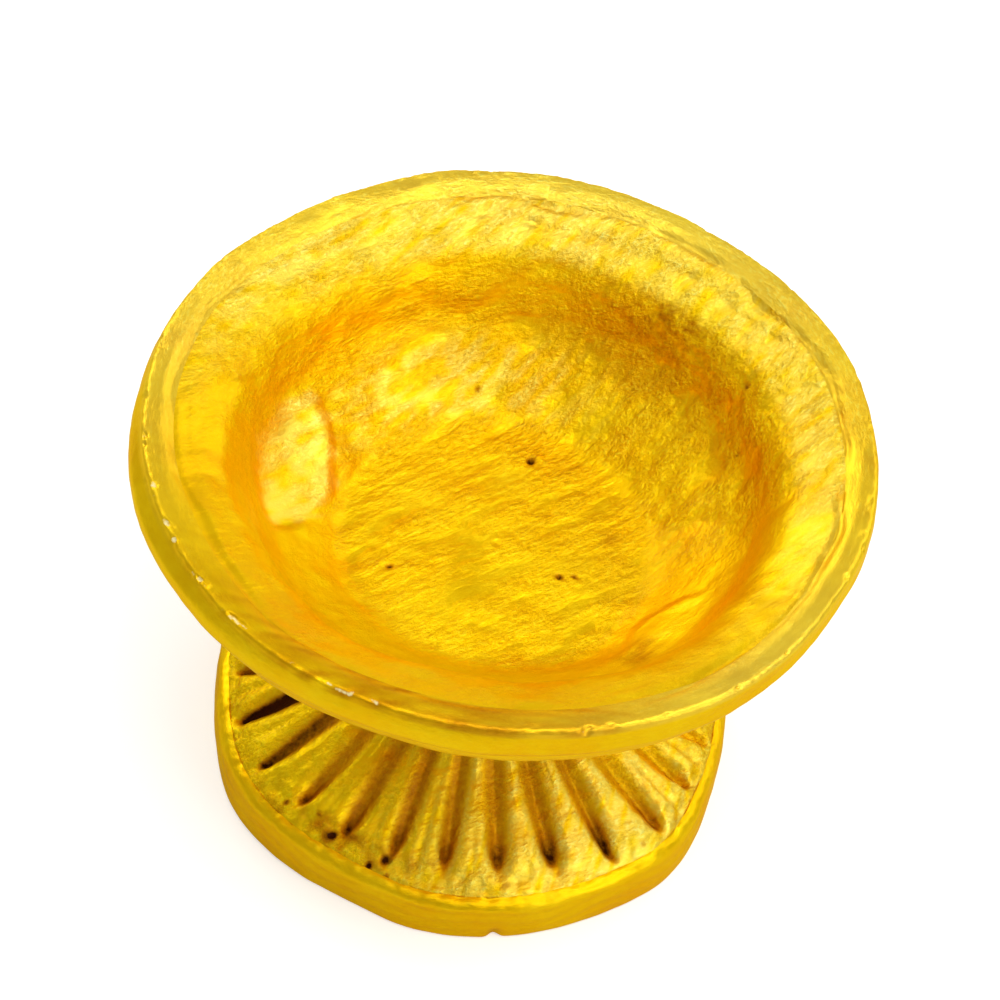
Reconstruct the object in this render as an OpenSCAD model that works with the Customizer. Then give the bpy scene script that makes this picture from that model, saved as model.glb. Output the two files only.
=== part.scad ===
// Stemmed clay diya: a wide flanged dish luted onto a hollow, fluted foot.
// The dish has a coil laid round its edge, and the foot has a plain strip round its base.
// Millimetres, +Z up. The origin is the centre of the circle that the lamp stands on.

/* [Overall] */
// Diameter of the dish across the sharp edge of its rim
rim_d = 70; // [58:0.5:86]
// Diameter of the base, outside its strip
foot_d = 53; // [43:0.5:62]
// Height of the foot, up to the slip under the dish
foot_h = 22.5; // [18.5:0.25:30]

/* [Dish] */
// Depth from the rim to the floor
dish_depth = 16; // [13:0.5:20]
// Thickness of the clay under the floor
floor_t = 5; // [4:0.25:7]
// Diameter of the flat floor
floor_d = 31.4; // [24:0.2:36]
// Height of the small step round the floor
floor_step = 0.5; // [0.2:0.1:1]
// Rise of the sloping bottom, from the floor to the foot of the wall
turn_rise = 7; // [5:0.25:8.5]
// How far the steep wall leans in, from the shoulder down to the sloping bottom
wall_lean = 2.3; // [1:0.1:3]
// Width of the flange, from the rim coil to the shoulder
flange_w = 5.2; // [4:0.1:6.5]
// Fall of the flange from the groove beside the rim to the shoulder
flange_fall = 2.5; // [1:0.1:3]
// Outward bow of the underside
belly = 1.6; // [0.5:0.1:2.5]

/* [Rim coil] */
// Width of the coil on top
coil_w = 3; // [2:0.1:4.5]
// Height of the coil
coil_h = 4; // [3:0.1:5.5]
// Depth of the groove between the coil and the flange
groove_d = 0.6; // [0.3:0.1:1]
// How far the outside of the coil swells past the rim's edge
swell = 0.6; // [0:0.1:1.2]

/* [Foot] */
// Diameter of the neck
neck_d = 22.6; // [19:0.2:26]
// Slope of the skirt above the horizontal, in degrees
skirt_slope = 30; // [24:1:36]
// Radius of the sweep from the skirt up into the neck
sweep_r = 9; // [5:0.5:10]
// Width of the ring of clay that the foot stands on, without its strip
stand_w = 4.4; // [3:0.2:6]
// Thickness of the skirt's wall
skirt_t = 4; // [3:0.1:5]
// Diameter of the flat roof of the hollow under the foot
roof_d = 18; // [12:0.5:20]

/* [Flutes] */
// Number of deep flutes round the skirt
flutes = 26; // [12:1:30]
// Turn of the first deep flute from +X, in degrees
flute_turn = 5.6; // [0:0.1:30]
// Width of a deep flute at the base
flute_w = 2.6; // [1.8:0.1:3.2]
// Depth of a deep flute at the base
flute_depth = 0.9; // [0.6:0.05:1.1]
// Depth of a deep flute at the top of the skirt
flute_neck_depth = 0.5; // [0.3:0.05:0.6]
// Width of the shallow flute between two deep ones
fine_w = 1.4; // [0.8:0.1:2]
// Depth of the shallow flute
fine_depth = 0.3; // [0.2:0.05:0.5]
// Distance that the flutes stop short of the strip
run_out = 1.4; // [0.5:0.1:3]

/* [Base strip] */
// Height of the strip
strip_h = 5.4; // [4:0.1:7]
// Thickness of the strip
strip_t = 1.2; // [0.8:0.1:2]
// Size of the nick in the strip's lower edge, where its two ends meet
nick = 1.2; // [0.4:0.1:2]
// Direction of the nick from +X, in degrees
nick_turn = 282; // [0:1:359]

/* [Neck joint] */
// Thickness of the slip between the dish and the foot
slip_t = 1.5; // [0.8:0.1:2.5]
// How far the slip squeezes out round the neck
squeeze = 0.9; // [0.4:0.1:1.5]
// Diameter and length of the peg under the dish
peg_d = 12; // [9:0.2:14]
peg_len = 7; // [5:0.25:8]
// Gap between the peg and the sides of its socket, and below its end
peg_gap = 0.25; // [0.1:0.05:0.5]

/* [Hidden] */
$fn = 120;
BORE_FN = 48; // sides of the peg and its socket
PAST = 1; // how far a cutter runs past the face that it opens

gold = [0.91, 0.72, 0.05];
deep_gold = [0.84, 0.6, 0.04];

seat_z = foot_h + slip_t; // flat underside of the dish, where the slip is
floor_z = seat_z + floor_t;
turn_z = floor_z + turn_rise;
rim_z = floor_z + dish_depth;
groove_z = rim_z - groove_d;
shoulder_z = groove_z - flange_fall;
coil_base_z = rim_z - coil_h;

rim_r = rim_d / 2;
coil_in_r = rim_r - coil_w;
shoulder_r = coil_in_r - flange_w;
turn_r = shoulder_r - wall_lean;
floor_r = floor_d / 2;
neck_r = neck_d / 2;
peg_r = peg_d / 2;
skirt_r = foot_d / 2 - strip_t;
hollow_r = skirt_r - stand_w;

// The skirt is a straight cone that meets the neck in a sweep of sweep_r.
corner_z = strip_h + (skirt_r - neck_r) * tan(skirt_slope);
sweep_reach = sweep_r * tan((90 - skirt_slope) / 2);
sweep_c = [neck_r + sweep_r, corner_z + sweep_reach];
skirt_len = (skirt_r - neck_r) / cos(skirt_slope) - sweep_reach;

// The hollow's cone lies skirt_t inside the skirt.
hollow_base_z = strip_h + stand_w * tan(skirt_slope) - skirt_t / cos(skirt_slope);
roof_z = hollow_base_z + (hollow_r - roof_d / 2) * tan(skirt_slope);

// Points of a shallow curve from a to b that bows to the right of the way there by s.
function bow(a, b, s, n = 8) =
    let (d = b - a, side = [d[1], -d[0]] / norm(d))
    [for (i = [0:n]) let (t = i / n) a + d * t + side * 4 * s * t * (1 - t)];

// Points of an arc round c, from angle from to angle to.
function arc(c, r, from, to, n = 10) =
    [for (i = [0:n]) let (a = from + (to - from) * i / n) c + r * [cos(a), sin(a)]];

// The pan: a floor, a sloping bottom, a steep wall and a flange, with the peg below.
module dish() {
    edge = [rim_r - 0.3, coil_base_z];
    turn_under = edge - [1.6, 2.4];
    color(gold) {
        rotate_extrude()
            polygon(concat(
                [[0, seat_z], [neck_r, seat_z]],
                bow([neck_r, seat_z], turn_under, belly),
                bow(turn_under, edge, 0.4, 5),
                [[coil_in_r, coil_base_z], [coil_in_r, groove_z]],
                bow([shoulder_r, shoulder_z] + [0.8, 0.35], [shoulder_r, shoulder_z] - [0.5, 1.3], -0.3, 5),
                bow([turn_r, turn_z], [floor_r, floor_z + floor_step], -0.4),
                [[floor_r - floor_step, floor_z], [0, floor_z]]
            ));
        translate([0, 0, seat_z - peg_len])
            cylinder(h = peg_len + PAST, r = peg_r, $fn = BORE_FN);
    }
}

// The coil on the dish's edge: its top is the rim, and a groove parts it from the flange.
module rim_coil() {
    widest = [rim_r + swell, coil_base_z + coil_h / 4];
    color(gold)
        rotate_extrude()
            polygon(concat(
                [[coil_in_r, coil_base_z], [rim_r - 0.3, coil_base_z]],
                bow([rim_r - 0.3, coil_base_z], widest, 0.1, 4),
                bow(widest, [rim_r, rim_z], 0.15, 6),
                bow([coil_in_r + 0.8, rim_z - 0.05], [coil_in_r, groove_z], 0.15, 4)
            ));
}

// The slip that bonds the dish to the foot, squeezed out round the neck as a bead.
module neck_slip() {
    color(deep_gold)
        rotate_extrude()
            polygon(concat(
                [[peg_r, seat_z], [peg_r, foot_h]],
                bow([neck_r, foot_h], [neck_r, seat_z], squeeze)
            ));
}

// The bar that a flute is gouged out with, along the skirt at azimuth 0: a vee in section.
// It bites less towards the neck, so the flute narrows there as the skirt does.
module gouge(width, depth, neck_depth) {
    tall = 3; // how many times deeper the bar is than its bite
    length = skirt_len - run_out;
    tilt = atan((depth - neck_depth) / length);
    translate([skirt_r, 0, strip_h])
        rotate([0, skirt_slope - 90, 0])
            translate([-depth, 0, run_out])
                rotate([0, tilt, 0])
                    linear_extrude(height = length)
                        polygon(tall * [[0, 0], [depth, width / 2], [depth, -width / 2]]);
}

// The body of the foot before it is fluted: neck, sweep, skirt and standing ring.
module foot_blank() {
    rotate_extrude()
        polygon(concat(
            [[0, roof_z], [roof_d / 2, roof_z], [hollow_r, hollow_base_z], [hollow_r, 0]],
            [[skirt_r, 0], [skirt_r, strip_h]],
            arc(sweep_c, sweep_r, 270 - skirt_slope, 180),
            [[neck_r, foot_h], [0, foot_h]]
        ));
}

// The pedestal, with deep flutes and a shallow one between each two, and the peg's socket.
module fluted_foot() {
    step = 360 / flutes;
    color(gold)
        difference() {
            foot_blank();
            translate([0, 0, seat_z - peg_len - peg_gap])
                cylinder(h = peg_len + PAST, r = peg_r + peg_gap, $fn = BORE_FN);
            for (i = [0:flutes - 1]) {
                rotate(flute_turn + i * step)
                    gouge(flute_w, flute_depth, flute_neck_depth);
                rotate(flute_turn + (i + 0.5) * step)
                    gouge(fine_w, fine_depth, fine_depth);
            }
        }
}

// The plain strip wrapped round the base, with a nick below where its ends meet.
module base_strip() {
    outer_r = foot_d / 2;
    color(deep_gold)
        difference() {
            rotate_extrude()
                polygon(concat(
                    [[skirt_r, strip_h], [skirt_r, 0], [outer_r - 0.2, 0]],
                    bow([outer_r - 0.1, 0.4], [outer_r - 0.1, strip_h - 1], 0.1, 5),
                    bow([outer_r - 0.1, strip_h - 1], [skirt_r, strip_h], 0.15, 5)
                ));
            rotate(nick_turn)
                translate([outer_r, 0, 0])
                    rotate(45)
                        cube([nick, nick, strip_h], center = true);
        }
}

dish();
rim_coil();
neck_slip();
fluted_foot();
base_strip();
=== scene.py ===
# %% [markdown]
# # A stemmed clay diya in gold paint
#
# This lamp is a small oil dish on a fluted foot. A potter made it in five lumps of clay: the dish,
# a coil laid round its edge, a smear of slip at the neck, the fluted foot, and a plain strip
# wrapped round the base. It was then painted all over with a metallic gold.
#
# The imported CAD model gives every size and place. It is round and true, and a hand-made lamp is
# not. So each piece is turned again here from the same outline, with enough points to press dents,
# flutes, pits and wavy edges into it.

import math

import bmesh
import bpy
import numpy as np
from mathutils import Matrix, Vector


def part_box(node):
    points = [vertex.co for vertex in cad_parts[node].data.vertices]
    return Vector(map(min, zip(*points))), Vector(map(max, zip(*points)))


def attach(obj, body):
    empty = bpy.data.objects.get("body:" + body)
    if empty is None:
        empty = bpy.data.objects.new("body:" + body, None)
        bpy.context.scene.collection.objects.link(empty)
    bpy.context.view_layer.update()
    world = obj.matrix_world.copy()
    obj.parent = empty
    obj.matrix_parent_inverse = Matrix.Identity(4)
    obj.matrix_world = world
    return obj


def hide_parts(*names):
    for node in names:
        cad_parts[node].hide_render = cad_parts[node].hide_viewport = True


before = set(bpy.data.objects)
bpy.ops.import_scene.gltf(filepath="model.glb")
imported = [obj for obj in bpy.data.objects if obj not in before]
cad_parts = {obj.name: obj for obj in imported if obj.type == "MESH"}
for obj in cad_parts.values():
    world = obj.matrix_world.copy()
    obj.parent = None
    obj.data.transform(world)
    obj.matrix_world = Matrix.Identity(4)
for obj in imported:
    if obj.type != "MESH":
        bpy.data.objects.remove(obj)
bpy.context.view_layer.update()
MM = 0.001
print("CAD nodes:", sorted(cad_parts))

# %% [markdown]
# ## Sizes
#
# The boxes of the CAD nodes give the heights where the pieces meet, and the outer sizes. Only what
# a box can't show is given, such as the width of the flange. All of it is in millimetres,
# because a potter would measure this lamp so. The outlines turn to metres in one place, below.

# %% Measure the frame
def height(node, end):
    """The lowest (0) or highest (1) point of a CAD node, in millimetres."""
    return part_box(node)[end][2] / MM


def reach(node):
    """The outer radius of a CAD node, in millimetres."""
    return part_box(node)[1][0] / MM


rim_z = height("rim_coil", 1)
coil_base_z = height("rim_coil", 0)
groove_z = height("dish", 1)
peg_base_z = height("dish", 0)
seat_z = height("neck_slip", 1)
foot_z = height("neck_slip", 0)
strip_z = height("base_strip", 1)
base_r = reach("base_strip")
skirt_r = reach("fluted_foot")
swell = 0.6  # of the coil, past the rim's edge
coil_width = 3
flange_width = 5.2
flange_fall = 2.5
dish_depth = 16
rim_r = reach("rim_coil") - swell
coil_r = rim_r - coil_width
shoulder_r = coil_r - flange_width
shoulder_z = groove_z - flange_fall
floor_z = rim_z - dish_depth
floor_r = 15.7
neck_r = 11.3
peg_r = 6
print(f"rim {2 * rim_r:.1f} mm wide and {rim_z:.1f} high, base {2 * base_r:.1f} mm wide")

# %% [markdown]
# ## Unevenness
#
# Hands leave soft swells a centimetre or two across, and tools leave ripples of a millimetre or
# two. A sum of plane waves in random directions gives both: the wavelength sets the size of the
# bumps, and a fixed seed keeps them the same each time. A noise texture on a Displace modifier
# would do as well, but here the same waves can also move an edge, a flute or a mask.

# %% Waves and soft steps
def waves(x, y, z, size, seed, count=18):
    """Smooth random bumps about one unit high, with a wavelength near size."""
    rng = np.random.default_rng(seed)
    total = np.zeros_like(x, dtype=float)
    for _ in range(count):
        way = rng.normal(size=3)
        way *= 2 * math.pi / (np.linalg.norm(way) * size * rng.uniform(0.7, 1.5))
        total += np.sin(x * way[0] + y * way[1] + z * way[2] + rng.uniform(0, 2 * math.pi))
    return total / math.sqrt(count / 2)


DISH_STROKES = 42  # degrees from +X


def brushed(x, y, size, seed, degrees=DISH_STROKES):
    """Streaky bumps about size mm wide, drawn out along brush strokes at that angle."""
    a = math.radians(degrees)
    along = x * math.cos(a) + y * math.sin(a)
    across = y * math.cos(a) - x * math.sin(a)
    return waves(along / 3.5, across, 0 * x, size, seed)


def ease(value, low, high):
    """0 below low, 1 above high, and a soft step between."""
    t = np.clip((value - low) / (high - low), 0, 1)
    return t * t * (3 - 2 * t)


def near_turn(turn, degrees, spread):
    """1 at an angle round the lamp, fading to 0 as a bell about spread degrees wide."""
    off = (np.degrees(turn) - degrees + 180) % 360 - 180
    return np.exp(-((off / spread) ** 2))


sample = waves(np.linspace(0, 50, 500), 0.0, 0.0, 8, 1)
print(f"waves run from {sample.min():.1f} to {sample.max():.1f}")


# %% [markdown]
# ## Turning an outline
#
# Each piece is a solid of revolution first, so a lathe suits it. The Screw modifier could sweep the
# outline, but it would hand the points over only after it is applied. Writing the grid of points
# directly keeps the angle, the radius and the height of each point at hand, and the pressing
# functions need those three.

# %% Outlines
def spaced(points, step):
    """The same line with a point about every step mm."""
    points = np.array(points, float)
    run = np.r_[0, np.cumsum(np.hypot(*np.diff(points, axis=0).T))]
    at = np.linspace(0, run[-1], max(1, round(run[-1] / step)) + 1)
    return np.c_[np.interp(at, run, points[:, 0]), np.interp(at, run, points[:, 1])]


def softened(points, step, reach_mm):
    """The line with its corners rounded over about reach_mm, and its two ends kept."""
    line = spaced(points, step)
    for _ in range(round((reach_mm / step) ** 2 / 2)):
        line[1:-1] = (line[:-2] + 2 * line[1:-1] + line[2:]) / 4
    return line


def path(*pieces):
    """Joins stretches of (points, step) or ready lines into one outline."""
    out = []
    for piece in pieces:
        line = spaced(*piece) if isinstance(piece, tuple) else piece
        out.append(line if not out else line[1:])
    return np.vstack(out)


def bow(a, b, sag, count=12):
    """Points of a shallow curve from a to b that bows to the right of the way there."""
    a, b = np.array(a, float), np.array(b, float)
    side = np.array([(b - a)[1], -(b - a)[0]]) / np.linalg.norm(b - a)
    t = np.linspace(0, 1, count)[:, None]
    return a + (b - a) * t + side * 4 * sag * t * (1 - t)


def outward(outline):
    """The direction out of the clay at each point of an outline that runs with clay on its left."""
    way = np.gradient(outline, axis=0)
    side = np.c_[way[:, 1], -way[:, 0]]
    return side / np.maximum(np.linalg.norm(side, axis=1, keepdims=True), 1e-9)


print("a 10 mm line in steps of 2 mm has", len(spaced([(0, 0), (10, 0)], 2)), "points")


# %% The lathe
def grid_faces(around, rows, ring):
    """The quads between the rows of a turned grid. A ring's last row joins its first one."""
    if ring:
        steps = [(j, (j + 1) % rows) for j in range(rows)]
    else:
        steps = [(j, j + 1) for j in range(1, rows - 2)]
    i = np.arange(around)
    after = (i + 1) % around
    quads = [np.c_[i * rows + j, after * rows + j, after * rows + k, i * rows + k] for j, k in steps]
    return np.vstack(quads).tolist()


def fan_faces(around, rows, tips):
    """The triangles that close both ends with a fan round a tip on the axis."""
    i = np.arange(around)
    after = (i + 1) % around
    first = np.c_[after * rows + 1, i * rows + 1, np.full(around, tips)]
    last = np.c_[i * rows + rows - 2, after * rows + rows - 2, np.full(around, tips + 1)]
    return first.tolist() + last.tolist()


def add_masks(mesh, masks, shape):
    """Stores each mask as a value at every point of the mesh. The two tips get 0."""
    for mask, values in masks.items():
        values = np.broadcast_to(values, shape).reshape(-1)
        values = np.r_[values, np.zeros(len(mesh.vertices) - len(values))]
        layer = mesh.attributes.new(mask, "FLOAT", "POINT")
        layer.data.foreach_set("value", values.astype(np.float32))


def drop_loose_points(mesh):
    """Removes the points on the axis that the two end fans replaced."""
    work = bmesh.new()
    work.from_mesh(mesh)
    bmesh.ops.delete(work, geom=[v for v in work.verts if not v.link_faces], context="VERTS")
    work.to_mesh(mesh)
    work.free()


SHARP_EDGE = math.radians(50)


def turned(name, outline, around, press, ring=False):
    """Turns an outline round +Z and presses it.

    press gets the grid of points, and returns their radius, height and masks. A ring's outline
    closes on itself. Any other outline starts and ends on the axis.
    """
    angles = np.arange(around) * 2 * math.pi / around
    turn, _ = np.meshgrid(angles, outline[:, 0], indexing="ij")
    grid = {
        "turn": turn,
        "r": np.broadcast_to(outline[:, 0], turn.shape),
        "z": np.broadcast_to(outline[:, 1], turn.shape),
        "out": outward(outline),
    }
    grid["x"] = grid["r"] * np.cos(turn)
    grid["y"] = grid["r"] * np.sin(turn)
    r, z, masks = press(grid)
    points = np.stack([r * np.cos(turn), r * np.sin(turn), z], axis=-1) * MM
    verts = points.reshape(-1, 3)
    faces = grid_faces(around, len(outline), ring)
    if not ring:
        faces += fan_faces(around, len(outline), len(verts))
        verts = np.vstack([verts, points[:, 0].mean(axis=0), points[:, -1].mean(axis=0)])
    mesh = bpy.data.meshes.new(name)
    mesh.from_pydata(verts.tolist(), [], faces)
    add_masks(mesh, masks, turn.shape)
    mesh.shade_smooth()
    mesh.set_sharp_from_angle(angle=SHARP_EDGE)
    piece = bpy.data.objects.new(name, mesh)
    bpy.context.scene.collection.objects.link(piece)
    if not ring:
        drop_loose_points(mesh)
    print(f"{name}: {len(mesh.vertices)} points, {len(mesh.polygons)} faces")
    return piece


print("a ring of 4 points turned in 8 steps has", len(grid_faces(8, 4, True)), "faces")


# %% [markdown]
# ## Brush strokes
#
# The paint went on with a stiff little brush, and its hairs left fine lines in it. They catch the
# light, so they matter more than the colour does. The effect is one node group, used by every
# material: noise that is squeezed across the stroke and drawn out along it. It puts out a height
# for a Bump node, one mask for the crests of the strokes, one for the hollows between them, and
# soft blotches. The dish and the foot were brushed straight across, and the rest was brushed round
# while the lamp was turned, so the group takes its coordinates from outside. An image of strokes
# would do as well on a flat sheet, but it would have to be unwrapped round every flute.

# %% Helpers for nodes
def new_group(name, inputs, outputs):
    """An empty node group with sockets: inputs are (name, type, default), outputs (name, type)."""
    group = bpy.data.node_groups.new(name, "ShaderNodeTree")
    for label, kind, default in inputs:
        socket = group.interface.new_socket(label, in_out="INPUT", socket_type=kind)
        if default is not None:
            socket.default_value = default
    for label, kind in outputs:
        group.interface.new_socket(label, in_out="OUTPUT", socket_type=kind)
    tree = group.nodes
    return group, tree.new("NodeGroupInput"), tree.new("NodeGroupOutput")


def math_node(tree, operation, a, b=None, clamp=False):
    """A Math node whose inputs are sockets or numbers. Returns its output socket."""
    node = tree.nodes.new("ShaderNodeMath")
    node.operation = operation
    node.use_clamp = clamp
    for slot, value in enumerate((a, b)):
        if value is None:
            continue
        if isinstance(value, (int, float)):
            node.inputs[slot].default_value = value
        else:
            tree.links.new(value, node.inputs[slot])
    return node.outputs[0]


def noise_node(tree, vector, scale, detail=2.0, roughness=0.5):
    """A noise texture on a vector socket. Returns its value socket."""
    node = tree.nodes.new("ShaderNodeTexNoise")
    node.inputs["Scale"].default_value = scale
    node.inputs["Detail"].default_value = detail
    node.inputs["Roughness"].default_value = roughness
    tree.links.new(vector, node.inputs["Vector"])
    return node.outputs["Fac"]


def ramp_node(tree, value, stops):
    """A colour ramp with (position, colour) stops. Returns its colour socket."""
    node = tree.nodes.new("ShaderNodeValToRGB")
    while len(node.color_ramp.elements) < len(stops):
        node.color_ramp.elements.new(0.5)
    for element, (position, colour) in zip(node.color_ramp.elements, stops):
        element.position = position
        element.color = (*colour, 1)
    tree.links.new(value, node.inputs["Fac"])
    return node.outputs["Color"]


def stretch_node(tree, vector, scale):
    """A vector multiplied by three scales, to squeeze a texture one way and draw it out another."""
    node = tree.nodes.new("ShaderNodeVectorMath")
    node.operation = "MULTIPLY"
    node.inputs[1].default_value = scale
    tree.links.new(vector, node.inputs[0])
    return node.outputs[0]


print("helpers for nodes: math, noise, ramp and stretch")


# %% The brush stroke group
def brush_strokes():
    """Strokes along the X of the vector that comes in, which is in metres."""
    group, given, result = new_group(
        "brush strokes",
        [
            ("Vector", "NodeSocketVector", None),
            ("Crinkle", "NodeSocketFloat", 0.5),
            ("Dryness", "NodeSocketFloat", 1.0),
        ],
        [
            ("Height", "NodeSocketFloat"),
            ("Streak", "NodeSocketFloat"),
            ("Hollow", "NodeSocketFloat"),
            ("Blotch", "NodeSocketFloat"),
        ],
    )
    vector = given.outputs["Vector"]
    hairs = noise_node(group, stretch_node(group, vector, (1300, 3300, 3300)), 1.0, 3.0, 0.65)
    broad = noise_node(group, stretch_node(group, vector, (330, 850, 850)), 1.0, 2.0)
    crinkle = noise_node(group, stretch_node(group, vector, (1500, 2100, 2100)), 1.0, 4.0, 0.7)
    blotch = noise_node(group, vector, 120.0, 3.0, 0.6)
    rough = math_node(group, "MULTIPLY", crinkle, given.outputs["Crinkle"])
    half_hairs = math_node(group, "MULTIPLY", hairs, 0.5)
    half_broad = math_node(group, "MULTIPLY", broad, 0.5)
    lines = math_node(group, "ADD", half_hairs, half_broad)
    links = group.links
    # Calm and rough patches, a few millimetres across, as the brush ran dry.
    calm = noise_node(group, stretch_node(group, vector, (160, 420, 420)), 1.0, 2.0)
    calm = math_node(group, "SUBTRACT", calm, 0.32)
    calm = math_node(group, "MULTIPLY", calm, 3.2, clamp=True)
    patches = math_node(group, "ADD", math_node(group, "MULTIPLY", calm, 1.1), 0.4)
    dry = math_node(group, "MULTIPLY", given.outputs["Dryness"], patches)
    height = math_node(group, "MULTIPLY", math_node(group, "ADD", lines, rough), dry)
    links.new(height, result.inputs["Height"])
    both = math_node(group, "ADD", hairs, rough)
    half_crinkle = math_node(group, "MULTIPLY", given.outputs["Crinkle"], 0.5)
    middle = math_node(group, "ADD", 0.5, half_crinkle)
    above = math_node(group, "SUBTRACT", both, middle)
    above = math_node(group, "MULTIPLY", above, dry)
    links.new(math_node(group, "MULTIPLY", above, 4.0, clamp=True), result.inputs["Streak"])
    links.new(math_node(group, "MULTIPLY", above, -4.0, clamp=True), result.inputs["Hollow"])
    links.new(blotch, result.inputs["Blotch"])
    return group


strokes_group = brush_strokes()
print("group:", strokes_group.name, [s.name for s in strokes_group.interface.items_tree])

# %% [markdown]
# ## Worn and dirty paint, with painted shade and highlight
#
# Paint rubs off where a thumb or a table touches, and the pale clay shows. On the near edge of the
# rim the same pale clay is widened into a painted highlight. The pits are darker, and painted shade
# darkens the bottoms of the flutes, the upper skirt under the dish, the far wall of the dish and the
# near top of the coil, in the same browns and blacks as dirt. The meshes carry both as two masks,
# one for rubbed paint and painted highlight, one for dirt and painted shade, worked out while the
# clay is pressed, so they follow the shape exactly. They could be painted on by hand in Vertex
# Paint, but then they would have to be painted again after each change. This group breaks the masks
# up with noise, so that an edge wears in flecks and not as an even band.

# %% The group for wear, dirt and painted light
def wear_and_painted_light():
    """Bare clay and painted highlight, and soil and painted shade, each broken up by flecks."""
    group, given, result = new_group(
        "paint wear",
        [
            ("Vector", "NodeSocketVector", None),
            ("Rubbed and highlight", "NodeSocketFloat", 0.0),
            ("Dirt and shade", "NodeSocketFloat", 0.0),
        ],
        [("Bare and highlight", "NodeSocketFloat"), ("Soil and shade", "NodeSocketFloat")],
    )
    flecks = noise_node(group, given.outputs["Vector"], 1500.0, 4.0, 0.6)
    patches = noise_node(group, given.outputs["Vector"], 260.0, 2.0)
    fine = math_node(group, "MULTIPLY", flecks, 0.6)
    coarse = math_node(group, "MULTIPLY", patches, 0.6)
    both = math_node(group, "ADD", fine, coarse)
    bare_and_highlight = math_node(group, "SUBTRACT", math_node(group, "ADD", both, given.outputs["Rubbed and highlight"]), 1.15)
    group.links.new(math_node(group, "MULTIPLY", bare_and_highlight, 6.0, clamp=True), result.inputs["Bare and highlight"])
    soil_and_shade = math_node(group, "MULTIPLY", given.outputs["Dirt and shade"], math_node(group, "ADD", flecks, 0.5))
    group.links.new(math_node(group, "MULTIPLY", soil_and_shade, 1.0, clamp=True), result.inputs["Soil and shade"])
    return group


wear_and_painted_light_group = wear_and_painted_light()
print("group:", wear_and_painted_light_group.name)

# %% [markdown]
# ## Gold paint
#
# Metallic paint is fine flakes in a clear binder, so it is nearly all metallic, and a thin coat
# over it gives the pale glints. The colour comes from the metal: red nearly whole, green a little
# over half, hardly any blue. Where the gold reflects itself, as in the flutes and the dish's wall,
# each bounce takes more green away and the colour turns to deep orange by itself. The crests of
# the strokes are painted a little paler, as painted glints, and the hollows between them deeper,
# as painted shade.
#
# Three more masks steer the coat. Dryness says how roughly the strokes stand. Another is painted
# highlight: a pale gold on the far flange, in the thumb dent, on the far slope, on the top of the
# coil and on the front ridges of the foot. The mask named light is a painted reflection colour: a
# yellower gold on the near wall and the near ridges of the foot. One function makes all five
# paints, because they differ only in the way of the strokes and in how rough they are.

# %% Golds, with painted highlight and shade, dirt and clay
GOLD = (0.97, 0.585, 0.001)
PALE_GOLD = (1.0, 0.67, 0.004)
# Painted highlight: a pale gold.
PAINTED_HIGHLIGHT_GOLD = (1.0, 0.90, 0.19)
DEEP_GOLD = (0.96, 0.51, 0.0)
# Painted reflection: a yellower gold that keeps the gold's reflection of itself from turning orange.
PAINTED_REFLECTION_GOLD = (0.84, 0.70, 0.003)
# Painted shade in the hollows between the strokes.
SHADE_GOLD = (0.52, 0.26, 0.0)
# Painted glints on the crests of the strokes.
GLINT_GOLD = (1.0, 0.78, 0.015)
EDGE_TINT = (1.0, 0.85, 0.2)
# Brown for dirt and stains, and for painted shade.
BROWN_DIRT_AND_SHADE = (0.50, 0.17, 0.001)
# Near black for the pits, and for painted shade in the flutes.
SOOT_AND_SHADE = (0.06, 0.010, 0.001)
# Bare clay, which on the near edge of the rim is also a painted highlight.
CLAY_AND_HIGHLIGHT = (0.95, 0.82, 0.40)
print("the paint is", [round(part, 2) for part in GOLD], "in red, green and blue")


# %% Which way the strokes run
def straight_vector(tree, degrees):
    """Object coordinates turned so that X runs along strokes at that angle."""
    place = tree.nodes.new("ShaderNodeTexCoord")
    turn = tree.nodes.new("ShaderNodeMapping")
    turn.vector_type = "POINT"
    turn.inputs["Rotation"].default_value = (0, 0, math.radians(-degrees))
    tree.links.new(place.outputs["Object"], turn.inputs["Vector"])
    return turn.outputs["Vector"]


def round_vector(tree, radius):
    """Coordinates in metres, with X round the lamp at that radius, and Y and Z across the strokes."""
    place = tree.nodes.new("ShaderNodeTexCoord")
    parts = tree.nodes.new("ShaderNodeSeparateXYZ")
    tree.links.new(place.outputs["Object"], parts.inputs[0])
    x, y, z = parts.outputs
    angle = math_node(tree, "ARCTAN2", x, math_node(tree, "MULTIPLY", y, -1.0))
    x_squared = math_node(tree, "MULTIPLY", x, x)
    y_squared = math_node(tree, "MULTIPLY", y, y)
    out = math_node(tree, "SQRT", math_node(tree, "ADD", x_squared, y_squared))
    join = tree.nodes.new("ShaderNodeCombineXYZ")
    tree.links.new(math_node(tree, "MULTIPLY", angle, radius * MM), join.inputs[0])
    tree.links.new(out, join.inputs[1])
    tree.links.new(z, join.inputs[2])
    return join.outputs[0]


print("strokes on the dish run at", DISH_STROKES, "degrees")


# %% The gold paint material
def mix_colour(tree, factor, a, b):
    """A Mix node for colours. a and b are sockets or colours. Returns its colour socket."""
    node = tree.nodes.new("ShaderNodeMix")
    node.data_type = "RGBA"
    tree.links.new(factor, node.inputs[0])
    for slot, value in ((6, a), (7, b)):
        if isinstance(value, tuple):
            node.inputs[slot].default_value = (*value, 1)
        else:
            tree.links.new(value, node.inputs[slot])
    return node.outputs[2]


def mask_node(tree, mask):
    """A mask that the mesh carries. Returns its value socket."""
    node = tree.nodes.new("ShaderNodeAttribute")
    node.attribute_name = mask
    return node.outputs["Fac"]


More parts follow.
